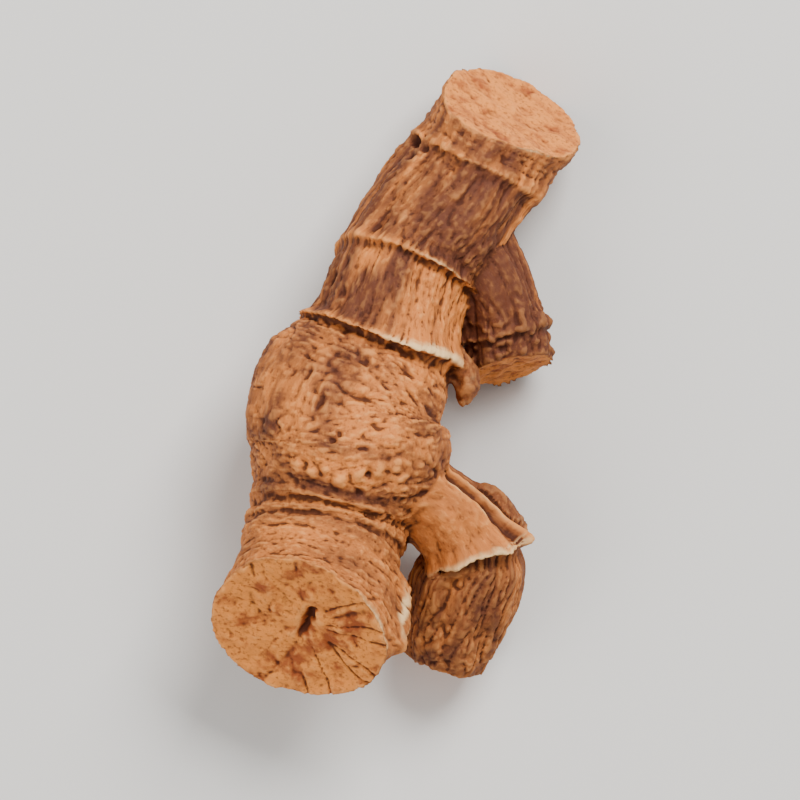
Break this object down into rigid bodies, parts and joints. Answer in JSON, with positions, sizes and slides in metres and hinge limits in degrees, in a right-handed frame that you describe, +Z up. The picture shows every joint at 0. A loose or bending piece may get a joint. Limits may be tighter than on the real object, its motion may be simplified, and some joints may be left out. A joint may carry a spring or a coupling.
{
  "type": "dried galangal root",
  "caption": "Short dried rhizome piece with ring scars, a swollen knob, side branches and flared cut ends, lying flat on low points.",
  "frame": {"origin": "on the table under the middle of the piece: the bottom centre of its box", "axes": "+Z up from the table, +Y towards the upper cut end, +X towards the side that the branches grow from"},
  "size_m": [0.0229, 0.0389, 0.0144],
  "materials": {
    "dried_rhizome": "dry wrinkled skin, matt, with paler cut faces and scars"
  },
  "bodies": {
    "root": {"rhizome": "dried_rhizome"}
  },
  "joints": []
}
